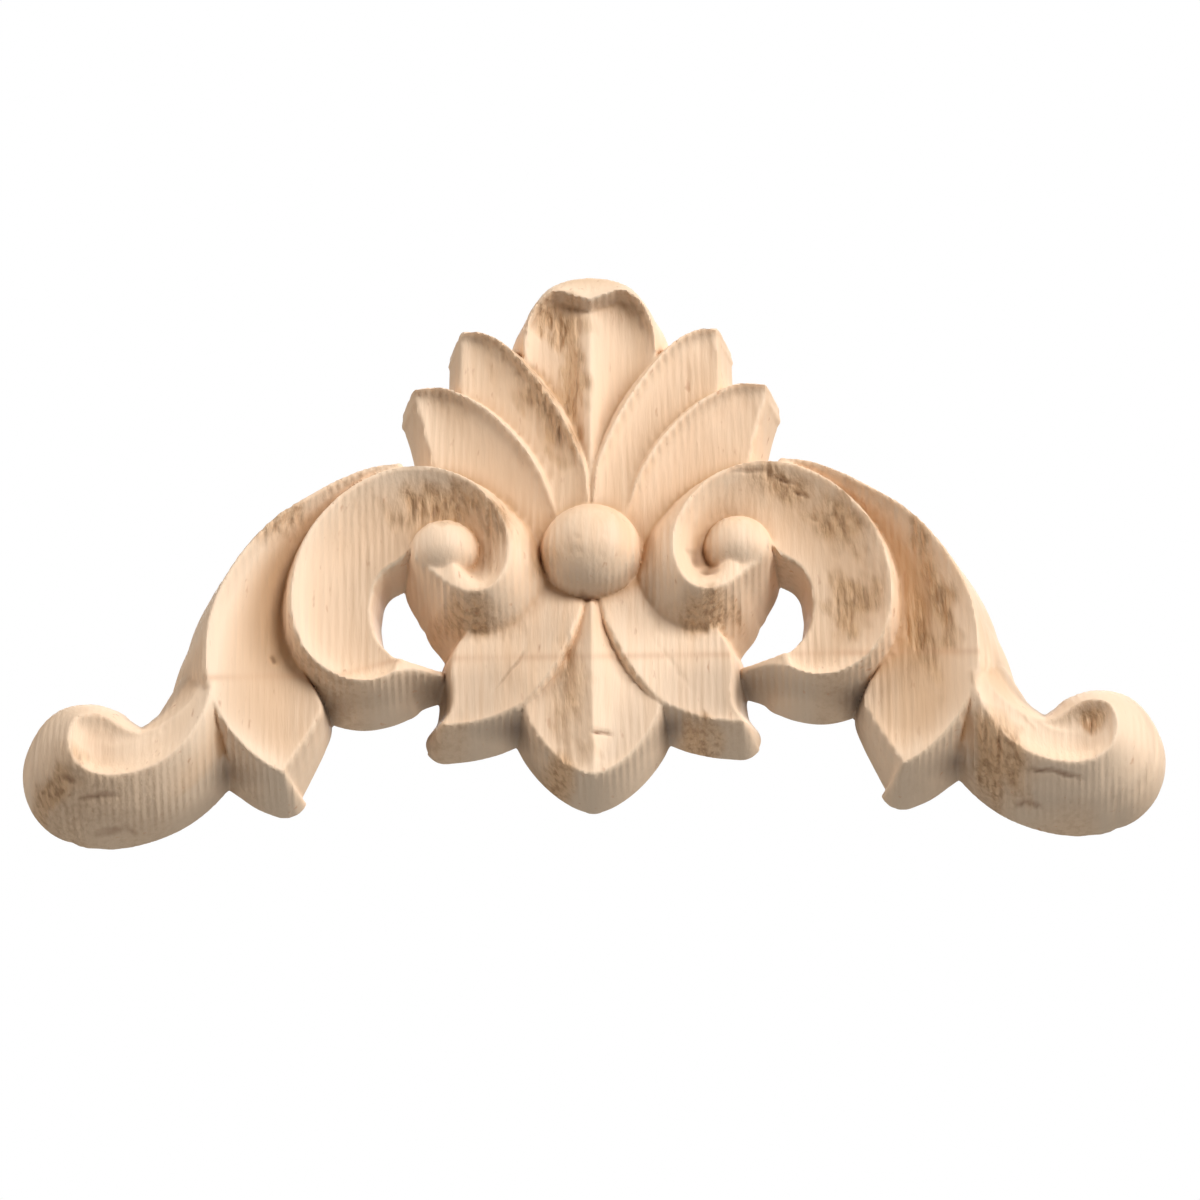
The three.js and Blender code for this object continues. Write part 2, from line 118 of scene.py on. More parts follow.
# Each leaf: the two rails, how far its top sinks between them, and how many
# times the plain wall slope each side's wall has.
leaves = {
    "voluteStart": {"outer": [r[:3] for r in ribbonRows[:4]],
                    "inner": [r[3:] for r in ribbonRows[:4]],
                    "sag": [0, 0, 0, 0.1], "outerWall": [0.6, 0.8, 0.95, 1.15],
                    "endWall": [0.2]},
    "volute": {"outer": [r[:3] for r in ribbonRows[3:11]],
               "inner": [r[3:] for r in ribbonRows[3:11]],
               "sag": [0, 0, 0.3, 1.0, 1.3, 1.3, 1.2, 1.1],
               "outerWall": [1.15, 1.5, 2.1, 2.7, 3, 2.6, 2], "startWall": [0.2], "endWall": [0.2]},
    "cLeaf": {"outer": [r[:3] for r in ribbonRows[10:]],
              "inner": [r[3:] for r in ribbonRows[10:]],
              "sag": [1.1, 1.0, 1.0, 1.1, 1.1, 1, 1, 0.8, 0.6, 0.1],
              "outerWall": [2, 1.2, 1, 1, 1, 1, 1, 1, 1.2, 1.5],
              "innerWall": [0.1, 0.1, 0.1, 0.2, 0.45, 0.6, 0.6, 0.55, 0.5],
              "startWall": [0.2], "endWall": [1, 0.5]},
    "cTip": {"outer": [(20.6, -14.1, 6.3), (18.4, -13.3, 5.2), (15.6, -13.1, 3.3)],
             "inner": [(20.0, -12.1, 5.9), (18.0, -12.4, 4.9), (15.6, -12.5, 3.3)],
             "sag": [0], "outerWall": [1.4], "innerWall": [0.5]},
    "armLeaf": {"outer": [(19.9, 9.6, 8.3), (22.9, 9.1, 8.4), (26.1, 7.7, 8.5), (29.2, 5.8, 8.6),
                          (32.6, 3.3, 8.8), (35.3, 0.2, 8.9), (37.4, -3.2, 9.0),
                          (38.9, -6.8, 9.1), (39.6, -10.3, 9.1), (39.7, -13.7, 9.0),
                          (39.5, -16.0, 8.8), (38.8, -18.1, 8.4), (37.7, -20.3, 7.9),
                          (36.0, -22.4, 7.3), (33.8, -24.3, 6.7), (31.8, -25.3, 6.1)],
                "inner": [(20.4, 8.0, 7.8), (24.1, 5.9, 7.1), (27.2, 2.5, 6.4), (29.6, -1.1, 5.9),
                          (31.2, -5.1, 5.6), (31.4, -8.5, 5.4), (30.8, -11.3, 5.2),
                          (29.6, -13.7, 5.1), (28.5, -15.5, 5.0), (28.0, -17.4, 5.0),
                          (28.8, -19.6, 5.2), (30.2, -22.3, 5.6), (31.7, -25.0, 6.0)],
                "sag": [0.3, 0.6, 0.8, 0.9, 0.9, 0.8, 0.6, 0],
                "outerWall": [1, 1, 1, 1.05, 1.1, 1.1, 1.6, 1.6, 1.2, 1.1, 1.25],
                "innerWall": [0.5, 0.5, 0.5, 0.6, 0.9], "endWall": [1.2]},
    "footNeck": {"outer": [r[:3] for r in footRows[:9]], "inner": [r[3:] for r in footRows[:9]],
                 "sag": [0, 0.2, 0.4, 0.5, 0.6], "belly": 0.28,
                 "outerWall": [1.35, 1.35, 1.3, 1.38, 1.5],
                 "innerWall": [1.65, 1.65, 1.4, 1.2, 1.2], "endWall": [0.2]},
    "footHead": {"outer": [r[:3] for r in footRows[8:]], "inner": [r[3:] for r in footRows[8:]],
                 "sag": [0.6, 0.6, 0.5, 0.3], "belly": 0.28,
                 "outerWall": [1.5, 1.7, 1.8, 1.7, 1.3, 1], "startWall": [0.2]},
    "footMouth": {"outer": [(43.6, -19.8, 7.3), (45.0, -20.6, 7.1), (46.4, -21.0, 7.1),
                            (47.6, -20.7, 7.3), (48.8, -20.1, 7.7)],
                  "inner": [(46.0, -22.9, 7.0), (47.5, -22.8, 7.0), (49.6, -22.5, 7.1)],
                  "sag": [0, 0.2, 0.2], "innerWall": [0.2], "startWall": [0.2], "endWall": [0.2],
                  "belly": 0.28},
    "lowerPetal": {"outer": [(3.0, 2.0, 6.2), (4.8, 7.6, 7.2), (6.5, 11.1, 7.4), (8.6, 14.1, 7.3),
                             (11.1, 16.8, 7.1), (13.5, 18.6, 6.8), (15.8, 19.7, 6.5),
                             (18.5, 19.8, 6.2)],
                   "inner": [(5.5, -2.0, 5.4), (9.0, 2.5, 5.8), (12.0, 5.5, 5.7), (14.5, 8.0, 5.5),
                             (16.3, 10.0, 5.4), (17.0, 13.0, 5.2), (17.7, 16.0, 5.1),
                             (18.4, 18.7, 5.3)],
                   "sag": [0.2, 0.8, 1.1, 1.2, 1.2, 1, 0.4], "skew": [0.5, 0.8],
                   "outerWall": [1.8, 1.8, 1.8, 1.6, 1.1, 0.85],
                   "endWall": [0.85, 0.95, 1.05, 1.1]},
    "upperPetal": {"outer": [(0.2, 4.5, 7.2), (0.6, 8.8, 7.6), (1.6, 12.0, 7.6), (3.1, 15.6, 7.5),
                             (5.1, 19.3, 7.3), (7.4, 22.8, 7.0), (9.5, 25.1, 6.8),
                             (11.6, 26.4, 6.5), (13.5, 26.7, 6.2)],
                   "inner": [(3.0, 2.5, 6.6), (5.0, 7.4, 6.5), (7.2, 11.4, 6.2), (9.8, 14.8, 5.8),
                             (12.6, 17.6, 5.4), (13.6, 20.2, 5.2), (13.6, 23.2, 5.1),
                             (13.5, 25.7, 5.3)],
                   "sag": [0.2, 0.7, 1.1, 1.2, 1.2, 1, 0.4], "skew": [0.5, 0.8],
                   "outerWall": [1.8, 1.8, 1.8, 1.6, 1.1, 0.85],
                   "endWall": [0.85, 0.95, 1.05, 1.1]},
    "topPetal": {"outer": [(2.0, 4.0, 6.2), (3.2, 10.0, 6.2), (4.8, 15.5, 5.8), (6.3, 20.5, 5.6),
                           (6.9, 24.0, 5.8), (6.8, 26.6, 6.1), (6.0, 28.9, 6.5), (4.8, 30.4, 6.9),
                           (3.4, 31.0, 7.0), (1.7, 30.4, 7.0), (-0.05, 29.8, 7.0)],
                 "inner": [(-0.05, 4.0, 6.8), (-0.05, 10.0, 7.2), (-0.05, 16.2, 7.0),
                           (-0.05, 22.0, 6.4), (-0.05, 26.5, 5.9), (-0.05, 28.6, 5.7),
                           (-0.05, 29.2, 5.7), (-0.05, 29.6, 6.8)],
                 "sag": [0.3, 0.8, 1.2, 1.45, 1.5, 1.35, 1.0, 0.2],
                 "skew": [0, 0, 0, 0.2, 0.6, 1, 1.2, 1.2]},
    "topLip": {"outer": [(6.95, 24.4, 5.0), (6.9, 26.0, 4.9), (6.8, 28.3, 4.9), (5.9, 30.5, 4.8),
                         (4.4, 32.6, 4.6), (2.3, 33.8, 4.4), (-0.05, 34.2, 4.3)],
               "inner": [(6.8, 24.4, 5.8), (6.7, 26.6, 6.15), (6.0, 28.8, 6.55),
                         (4.8, 30.3, 6.95), (3.4, 31.0, 7.05), (1.7, 30.4, 7.05),
                         (-0.05, 29.8, 7.05)],
               "sag": [-0.1, -0.2, -0.3, -0.3], "outerWall": [0.85], "innerWall": [0.35]},
    "sideLeaf": {"outer": [(3.0, 1.0, 5.2), (6.0, -2.5, 5.3), (9.0, -5.5, 5.5), (12.0, -8.0, 5.4),
                           (14.0, -10.5, 5.1), (14.5, -13.0, 5.0), (14.3, -15.5, 4.9),
                           (14.5, -17.6, 4.9), (15.5, -19.3, 4.8)],
                 "inner": [(0.5, -4.0, 5.3), (1.6, -8.4, 6.3), (3.2, -12.2, 6.3), (4.9, -15.0, 5.9),
                           (6.9, -17.1, 5.3), (9.6, -18.5, 5.0), (12.5, -19.3, 4.9),
                           (15.3, -19.6, 4.8)],
                 "sag": [0.1, 0.3, 0.4, 0.4, 0.3, 0],
                 "outerWall": [1, 1, 1, 1, 1.2, 1.3], "innerWall": [1, 1, 1, 1.3, 1.4],
                 "endWall": [1.4]},
    "middleLeaf": {"outer": [(0.5, -3.0, 5.4), (2.0, -8.0, 5.2), (3.9, -12.5, 5.0),
                             (5.8, -15.6, 5.0), (6.9, -17.6, 5.1), (6.2, -19.9, 5.2),
                             (4.9, -22.1, 5.2), (3.2, -24.0, 5.3), (1.4, -25.3, 5.5),
                             (-0.05, -25.9, 5.6)],
                   "inner": [(-0.05, -3.0, 5.3), (-0.05, -8.0, 6.5), (-0.05, -12.6, 6.9),
                             (-0.05, -17.7, 6.7), (-0.05, -22.1, 6.2), (-0.05, -25.7, 5.6)],
                   "sag": [0.1, 0.3, 0.6, 0.7, 0.5, 0]},
    "lowGround": {"outer": [(-0.05, 9.0, 6.2), (4.0, 8.0, 5.8), (7.5, 5.5, 5.6), (9.0, 1.0, 5.5),
                            (8.5, -3.0, 5.4), (6.0, -7.0, 5.4), (-0.05, -8.0, 5.4)],
                  "inner": [(-0.05, 6.0, 5.5), (-0.05, 0.0, 5.2), (-0.05, -6.0, 5.2)],
                  "sag": [0]},
}

domes = {
    "boss": {"x": 0.0, "y": 0.1, "foot": 6.4, "radius": 4.65, "flare": 0.1, "rise": 3.7,
             "both": False},
    "eye": {"x": 15.3, "y": -0.1, "foot": 7.1, "radius": 2.85, "flare": 0.2, "rise": 2.3,
            "both": True},
}


# Cubic curve through the points, each stretch shaped by its two neighbours
def smoothRail(points, count):
    p = np.array(points, float)
    p = np.vstack([2 * p[0] - p[1], p, 2 * p[-1] - p[-2]])
    place = np.linspace(0, len(points) - 1, count)
    i = np.minimum(place.astype(int), len(points) - 2)
    f = (place - i)[:, None]
    a, b, c, d = p[i], p[i + 1], p[i + 2], p[i + 3]
    return 0.5 * (2 * b + (c - a) * f + (2 * a - 5 * b + 4 * c - d) * f ** 2
                  + (3 * b - a - 3 * c + d) * f ** 3)


# A list read at a share of its length, straight between its values
def readAlong(values, share):
    return np.interp(share, np.linspace(0, 1, len(values)), values) if len(values) > 1 \
        else np.full(len(share), float(values[0]))


# Top of a leaf: straight between the rails, less sag times 4 w (1 - w), where w
# is the share of the way across
def leafTop(leaf, along, across):
    outer = smoothRail(leaf["outer"], along)[:, None]
    inner = smoothRail(leaf["inner"], along)[:, None]
    v = np.linspace(0, 1, across)
    share = np.linspace(0, 1, along)
    skew = readAlong(leaf.get("skew", [0]), share)
    w = v[None] ** (2 ** -skew[:, None])
    top = outer * (1 - v)[None, :, None] + inner * v[None, :, None]
    top[..., 2] -= readAlong(leaf["sag"], share)[:, None] * 4 * w * (1 - w)
    return top


# The four corners of every cell of a grid of points
def gridQuads(p):
    return np.stack([p[:-1, :-1], p[1:, :-1], p[1:, 1:], p[:-1, 1:]], 2).reshape(-1, 4, 3)


# Each direction divided by its length
def unit(n):
    return n / np.maximum(np.linalg.norm(n, axis=1, keepdims=True), 1e-9)


# Walls: at a level from 0 at the rim to 1 at the foot, a point of the outline has
# moved outward by drop times (slope times level + belly / 2 times sin(pi level)).
# Fans close the corners.
def leafWalls(leaf, top):
    along, across = top.shape[:2]
    line = np.vstack([top[:, 0], top[-1, 1:], top[::-1, -1][1:], top[0, ::-1][1:-1]])
    share = np.linspace(0, 1, along)
    slope = np.concatenate([
        readAlong(leaf.get("outerWall", [1]), share),
        readAlong(leaf.get("endWall", [1]), np.linspace(0, 1, across))[1:],
        readAlong(leaf.get("innerWall", [1]), share)[::-1][1:],
        readAlong(leaf.get("startWall", [1]), np.linspace(0, 1, across))[1:-1]]) * relief["wallSlope"]
    nextLine = np.roll(line, -1, 0)
    turn = np.sign(np.sum(line[:, 0] * nextLine[:, 1] - nextLine[:, 0] * line[:, 1]))
    step = nextLine - line
    length = np.linalg.norm(step[:, :2], axis=1, keepdims=True)
    leaving = turn * np.where(length > 1e-6,
                              np.stack([step[:, 1], -step[:, 0]], 1) / np.maximum(length, 1e-9), 0)
    arriving = np.roll(leaving, 1, 0)
    drop = line[:, 2] + relief["below"]
    belly = leaf.get("belly", 0.0)
    levels = [0, 1] if belly == 0 else relief["bellyLevels"]
    fan = relief["cornerSteps"]

    def ring(normal, level):
        run = drop * (slope * level + belly * 0.5 * math.sin(math.pi * level))
        q = line.copy()
        q[:, :2] += normal * run[:, None]
        q[:, 2] -= drop * level
        return q

    quads = []
    for high, low in zip(levels[:-1], levels[1:]):
        quads.append(np.stack([ring(leaving, high), np.roll(ring(arriving, high), -1, 0),
                               np.roll(ring(arriving, low), -1, 0), ring(leaving, low)], 1))
        for k in range(fan):
            one = unit(arriving * (1 - k / fan) + leaving * (k / fan))
            two = unit(arriving * (1 - (k + 1) / fan) + leaving * ((k + 1) / fan))
            quads.append(np.stack([ring(one, high), ring(two, high),
                                   ring(two, low), ring(one, low)], 1))
    return np.concatenate(quads)


# Half a flattened ball whose foot flares out: at tilt t its radius is
# radius times (sin t + flare times (1 - cos t) squared)
def domeQuads(d):
    turn = np.linspace(0, 2 * math.pi, 73)
    tilt = np.linspace(0, math.pi / 2, 19)
    t, a = np.meshgrid(tilt, turn, indexing="ij")
    out = d["radius"] * (np.sin(t) + d["flare"] * (1 - np.cos(t)) ** 2)
    cap = np.stack([d["x"] + out * np.cos(a), d["y"] + out * np.sin(a),
                    d["foot"] + d["rise"] * np.cos(t)], -1)
    rim = np.stack([cap[-1], cap[-1] - [0, 0, d["foot"] + relief["below"]]])
    return np.concatenate([gridQuads(cap), gridQuads(rim)])


# Height field: each quad is sampled closely, every sample is carried along the
# quad's own slope to the middle of its cell, and a cell keeps its highest sample
class HeightField:
    def __init__(self, stepX, stepY):
        self.stepX, self.stepY = stepX, stepY
        self.columns = 2 * int(round(relief["halfWidth"] / stepX)) + 1
        self.x0 = -(self.columns // 2) * stepX
        self.y0 = relief["lowest"]
        self.rows = int(round((relief["highest"] - self.y0) / stepY)) + 1
        self.h = np.full((self.rows, self.columns), -relief["below"])

    def add(self, quads):
        sides = [np.linalg.norm((quads[:, (k + 1) % 4] - quads[:, k])[:, :2], axis=1)
                 for k in range(4)]
        spacing = 0.6 * min(self.stepX, self.stepY)
        down = np.ceil(np.log2(np.maximum(np.maximum(sides[0], sides[2]) / spacing, 1)))
        over = np.ceil(np.log2(np.maximum(np.maximum(sides[1], sides[3]) / spacing, 1)))
        for a, b in np.unique(np.stack([down, over], 1).astype(int), axis=0):
            q = quads[(down == a) & (over == b)]
            n = np.cross(q[:, 2] - q[:, 0], q[:, 3] - q[:, 1])
            n[n[:, 2] < 0] *= -1
            up = np.maximum(n[:, 2], 1e-9)
            slopeX = np.clip(-n[:, 0] / up, -8, 8)
            slopeY = np.clip(-n[:, 1] / up, -8, 8)
            s, t = [g.ravel()[:, None, None] for g in np.meshgrid(
                (np.arange(2 ** a) + 0.5) / 2 ** a, (np.arange(2 ** b) + 0.5) / 2 ** b,
                indexing="ij")]
            p = (q[None, :, 0] * (1 - s) * (1 - t) + q[None, :, 1] * s * (1 - t)
                 + q[None, :, 2] * s * t + q[None, :, 3] * (1 - s) * t)
            column = np.rint((p[..., 0] - self.x0) / self.stepX).astype(int)
            row = np.rint((p[..., 1] - self.y0) / self.stepY).astype(int)
            z = (p[..., 2] + slopeX * (self.x0 + column * self.stepX - p[..., 0])
                 + slopeY * (self.y0 + row * self.stepY - p[..., 1]))
            z = np.clip(z, q[:, :, 2].min(1), q[:, :, 2].max(1))
            ok = (column >= 0) & (column < self.columns) & (row >= 0) & (row < self.rows)
            np.maximum.at(self.h, (row[ok], column[ok]), z[ok])


def mirrored(quads):
    return quads * np.array([-1.0, 1.0, 1.0])


# Gaussian blur, across and then up
def blur(h, sigmaColumns, sigmaRows):
    for axis, sigma in ((1, sigmaColumns), (0, sigmaRows)):
        reach = int(math.ceil(3 * sigma))
        w = np.exp(-0.5 * (np.arange(-reach, reach + 1) / sigma) ** 2)
        w /= w.sum()
        pad = [(0, 0), (0, 0)]
        pad[axis] = (reach, reach)
        padded = np.pad(h, pad, mode="edge")
        n = h.shape[axis]
        h = sum(w[k] * np.take(padded, np.arange(k, k + n), axis) for k in range(2 * reach + 1))
    return h


# The field moved by whole rows and columns, with fill where nothing comes in
def shifted(a, rows, columns, fill):
    out = np.full_like(a, fill)
    n, m = a.shape
    out[max(rows, 0):n + min(rows, 0), max(columns, 0):m + min(columns, 0)] = \
        a[max(-rows, 0):n + min(-rows, 0), max(-columns, 0):m + min(-columns, 0)]
    return out


# Value noise from 0 to 1: a seeded random number at each corner of its cells,
# blended smoothly in between
def softNoise(x, y, cellX, cellY, seed):
    u, v = x / cellX + 1000.0, y / cellY + 1000.0
    i, j = np.floor(u).astype(int), np.floor(v).astype(int)
    fu, fv = u - i, v - j
    fu, fv = fu * fu * (3 - 2 * fu), fv * fv * (3 - 2 * fv)
    table = np.random.RandomState(seed).rand(257, 263)

    def at(a, b):
        return table[(i + a) % 257, (j + b) % 263]

    return ((at(0, 0) * (1 - fu) + at(1, 0) * fu) * (1 - fv)
            + (at(0, 1) * (1 - fu) + at(1, 1) * fu) * fv)


# A share that is 0 at one value and 1 at the other, straight in between
def fade(value, start, full):
    return np.clip((value - start) / (full - start), 0, 1)


# Slopes of the field and their size
def slopes(h, stepX, stepY):
    up, across = np.gradient(h, stepY, stepX)
    return across, up, np.sqrt(across ** 2 + up ** 2)


# A ball cutter passes up and down along every fourth column. Its tip stays as
# low as the surface lets it, and the wood left is the lowest of all its passes.
# The marks are faint on the tops, where they were sanded, and stronger on walls.
cutter = {
    "step": 0.735,         # distance between two passes
    "columnsPerStep": 4,
    "radius": 0.65,
    "uneven": 0.11,        # how far the passes differ in depth
    "unevenLength": 9.0,   # and over what length of a pass
    "wallSlopes": (0.6, 2.1),  # where a wall's strong marks begin, and where they are full
    "wallHeight": 3.5,     # they fade from this height down to the back
    "faint": 0.2,          # share of the marks left on the tops
    "patchShare": 0.4,     # and how much more in the patches sanded less
    "patchSize": (5.0, 9.0),
    "patchNoise": (0.35, 0.85),  # noise where a patch begins, and where it is full
    "breakLength": 2.6,    # length over which a mark comes and goes
    "topFade": 2.5,        # the tops' marks fade from this height down
    "proud": 0.2,          # most that a mark stands up on a top
    "wallProud": 0.35,     # and how much more on a wall
}


def cutterMarks(h, x, y, stepX, stepY):
    radius, below, farUp = cutter["radius"], relief["below"], 1e3
    every = cutter["columnsPerStep"]
    reachX, reachY = int(radius / stepX), int(radius / stepY)
    offsets = [(r, c, math.sqrt(radius ** 2 - (c * stepX) ** 2 - (r * stepY) ** 2))
               for r in range(-reachY, reachY + 1) for c in range(-reachX, reachX + 1)
               if (c * stepX) ** 2 + (r * stepY) ** 2 < radius ** 2]
    tip = np.full_like(h, -below - radius)
    for r, c, rise in offsets:
        tip = np.maximum(tip, shifted(h, r, c, -below) - radius + rise)
    middle = (h.shape[1] // 2) % every
    passes = (np.arange(h.shape[1]) % every) == middle
    uneven = softNoise(x, y, cutter["step"], cutter["unevenLength"], seed=3) - 0.5
    tip = np.where(passes[None, :], tip + cutter["uneven"] * uneven, farUp)
    left = np.full_like(h, farUp)
    for r, c, rise in offsets:
        left = np.minimum(left, shifted(tip, r, c, farUp) + radius - rise)
    slopeY, steep = slopes(h, stepX, stepY)[1:]
    facingDown = slopeY / np.maximum(steep, 0.1)
    wall = fade(steep, *cutter["wallSlopes"]) * np.clip(h / cutter["wallHeight"], 0.05, 1)
    wall = wall * np.clip(0.6 + facingDown, 0.1, 1)
    sandedLess = fade(softNoise(x, y, *cutter["patchSize"], seed=23), *cutter["patchNoise"])
    share = cutter["faint"] + cutter["patchShare"] * sandedLess
    share = share * (0.3 + 1.1 * softNoise(x, y, cutter["step"], cutter["breakLength"], seed=31))
    share = share * np.clip(h / cutter["topFade"], 0.1, 1)
    most = h + cutter["proud"] + cutter["wallProud"] * wall
    return h + (np.minimum(left, most) - h) * np.minimum(share + wall, 1)


# Torn grain: short lifted fibres where the cutter met the grain the wrong way
tornPatches = [
    # x, y, half length, half width, turn in degrees, depth
    (-55.3, -26.5, 3.6, 2.2, 35, 0.25),
    (-2.6, 27.5, 2.6, 3.2, 0, 0.32),
    (-1.7, 20.0, 1.7, 8.0, 0, 0.30),
    (-5.2, 17.5, 2.4, 9.5, 28, 0.22),
    (-15.0, 4.5, 7.0, 2.6, -8, 0.24),
    (-9.8, 1.0, 1.6, 4.5, 0, 0.18),
    (-2.6, -17.0, 2.2, 6.5, 0, 0.20),
    (-3.5, -24.5, 3.4, 2.2, 25, 0.22),
    (10.6, -20.5, 2.4, 1.9, 0, 0.26),
    (35.8, -5.5, 10.5, 1.3, -77, 0.26),
    (33.8, -10.5, 2.0, 6.0, 8, 0.2),
    (27.0, -6.2, 2.6, 3.9, 8, 0.34),
    (27.0, 1.2, 2.4, 6.0, 35, 0.24),
    (20.5, 6.6, 5.0, 1.5, -22, 0.2),
    (41.8, -24.8, 2.6, 4.2, 25, 0.30),
    (51.4, -21.3, 1.7, 1.3, 0, 0.34),
    (-33.0, 3.0, 6.0, 1.6, 40, 0.18),
    (-12.0, -8.2, 4.5, 1.8, -10, 0.20),
    (11.5, -8.0, 4.8, 1.8, 10, 0.20),
    (-5.0, -1.2, 2.0, 3.0, 0, 0.16),
]


tornFibres = [
    # width, length, lean, share, seed
    (0.4, 4.5, 0.03, 0.5, 5),
    (0.44, 1.6, -0.1, 0.3, 7),
    (0.37, 0.9, 0.1, 0.2, 9),
]

tornWood = {
    "everywhere": 0.45,    # most that the grain is torn outside the patches
    "spots": (5.0, 6.5),   # size of the spots there
    "steepFrom": 0.5,      # flatter places tear less
    "uphill": (0.55, 0.8),  # the cutter tears where the face rises to the right and up
    "edge": 1.25,          # where a patch ends, as a share of its half sizes
    "sharpness": 5,        # how sharply one fibre stands off the next
    "depth": 0.2,          # height of a fibre, for a torn share of 1
    "sunk": 0.4,           # part of that by which the torn wood lies lower
    "fadeOut": 0.7,        # the tears fade out near the back
}


def tornGrain(h, x, y, stepX, stepY):
    slopeX, slopeY, steep = slopes(h, stepX, stepY)
    toRight, upward = tornWood["uphill"]
    against = np.clip((toRight * slopeX + upward * slopeY) / np.maximum(steep, 0.15), 0, 1)
    against *= np.clip(steep / tornWood["steepFrom"], 0, 1)
    spots = np.clip(softNoise(x, y, *tornWood["spots"], seed=11) * 2.6 - 1.1, 0, 1)
    torn = tornWood["everywhere"] * against * spots
    ragged = (0.7 * softNoise(x + 0.3 * y, y, 1.0, 1.7, seed=17)
              + 0.6 * softNoise(x, y, 2.1, 3.3, seed=37) - 0.65)
    for cx, cy, longHalf, wideHalf, turn, deep in tornPatches:
        c, s = math.cos(math.radians(turn)), math.sin(math.radians(turn))
        u = ((x - cx) * c + (y - cy) * s) / longHalf
        v = (-(x - cx) * s + (y - cy) * c) / wideHalf
        inside = tornWood["edge"] - np.sqrt(u * u + v * v) + ragged
        torn = np.maximum(torn, deep * 4 * np.clip(inside, 0, 1))
    fibre = sum(share * softNoise(x + lean * y, y, wide, long, seed)
                for wide, long, lean, share, seed in tornFibres)
    fibre = np.tanh(tornWood["sharpness"] * (fibre - 0.5))
    depth = tornWood["depth"] * torn * np.clip(h * tornWood["fadeOut"], 0, 1)
    return h + depth * (fibre - tornWood["sunk"]), torn


# Short cuts and dents: x, y, length, width, turn in degrees, depth
dents = [
    (0.9, -21.0, 1.1, 0.28, 0, 0.25),
    (-50.5, -28.0, 2.4, 0.25, 3, 0.22),
    (-49.0, -30.2, 2.6, 0.22, 4, 0.20),
    (47.3, -27.2, 3.4, 0.26, -14, 0.25),
    (44.6, -28.9, 1.6, 0.24, -18, 0.22),
    # pits in the boss, and the nick below it
    (-1.4, -0.5, 0.4, 0.26, -30, 0.09),
    (1.5, -0.2, 0.35, 0.24, 10, 0.05),
    (-1.3, -2.1, 0.5, 0.26, -20, 0.1),
    (1.2, -2.5, 0.3, 0.24, 0, 0.05),
    (-0.5, -5.3, 1.1, 0.34, 0, 0.2),
    # cuts under the rim of the right volute
    (16.6, 8.1, 2.4, 0.26, 4, 0.15),
    (20.1, 7.3, 1.9, 0.24, -18, 0.16),
    (21.9, 5.8, 1.3, 0.2, -29, 0.16),
    (23.3, 3.1, 0.6, 0.22, -40, 0.12),
    (-53.5, -26.3, 1.1, 0.3, -30, 0.22),
    (-33.0, -12.0, 0.6, 0.3, -60, 0.2),
    # hollow between the right volute and its eye
    (11.2, -1.2, 1.9, 0.8, -78, 0.16),
    (12.5, -3.5, 1.1, 0.7, -42, 0.14),
    # veins of the side leaves
    (8.4, -13.3, 3.2, 0.26, -54, 0.07),
    (-8.4, -13.3, 3.4, 0.26, 54, 0.12),
]


# A dent is as deep as its depth times exp(-1.5 u^4 - v^2), along and across it,
# and wavers a little
def addDents(h, x, y):
    cut = np.zeros_like(h)
    waver = softNoise(x, y, 1.2, 1.2, seed=41) - 0.5
    for cx, cy, length, width, turn, deep in dents:
        c, s = math.cos(math.radians(turn)), math.sin(math.radians(turn))
        u = ((x - cx) * c + (y - cy) * s) / length
        v = (-(x - cx) * s + (y - cy) * c) / width + 1.8 * waver
        dent = (deep + 0.8 * deep * waver) * np.exp(-(u ** 4) * 1.5 - v ** 2)
        h = h - dent
        cut = cut + dent
    return h, cut


maskSizes = {
    "smooth": (1.2, 1.0),       # slopes are taken over so many columns and rows
    "near": (5.5, 4.4),         # reach of the ground near a place, in columns and rows
    "far": (13.0, 10.0),        # and of the ground further off
    # in the pairs below, the share is 0 at the first value and full at the second
    "hollowShade": (0, 0.8),         # painted shade in hollows: depth below the ground near it
    "hollowHeight": (2.5, 4.5),
    "hollowSlope": (1.4, 1.9),  # walls show half of it
    "valleyShade": (-1.0, 1.0),      # painted warm shade in valleys: depth below the ground further off
    "valleyHeight": (4, 5),
    "valleySlope": (1.9, 0.9),  # walls show none
    "valleyAside": (13, 16),    # it shows at the sides
    "valleyUp": (-3, 0),        # and above the leaves at the bottom
    "arm": (27, 33),            # the arms get a deeper colour of this painted shade
    "armMore": 0.8,             # by so much
    "foot": (41, 44),           # and the feet get none of it and stay pale
    "notchWood": (0.6, 0.8),    # painted shade in notches: share of wood round a notch
    "notchHeight": (5.6, 2.6),
    "notchDown": (-11, -14),    # only notches at the bottom get the painted shade
    "ring": -9.2,               # where the growth ring meets the back
    "ringLean": 0.53,           # it lies lower towards the front
    "ringLeft": (-20, -26),     # and in the left arm
    "ringDrop": 1.8,            # by so much
    "ringWidth": 0.4,
}
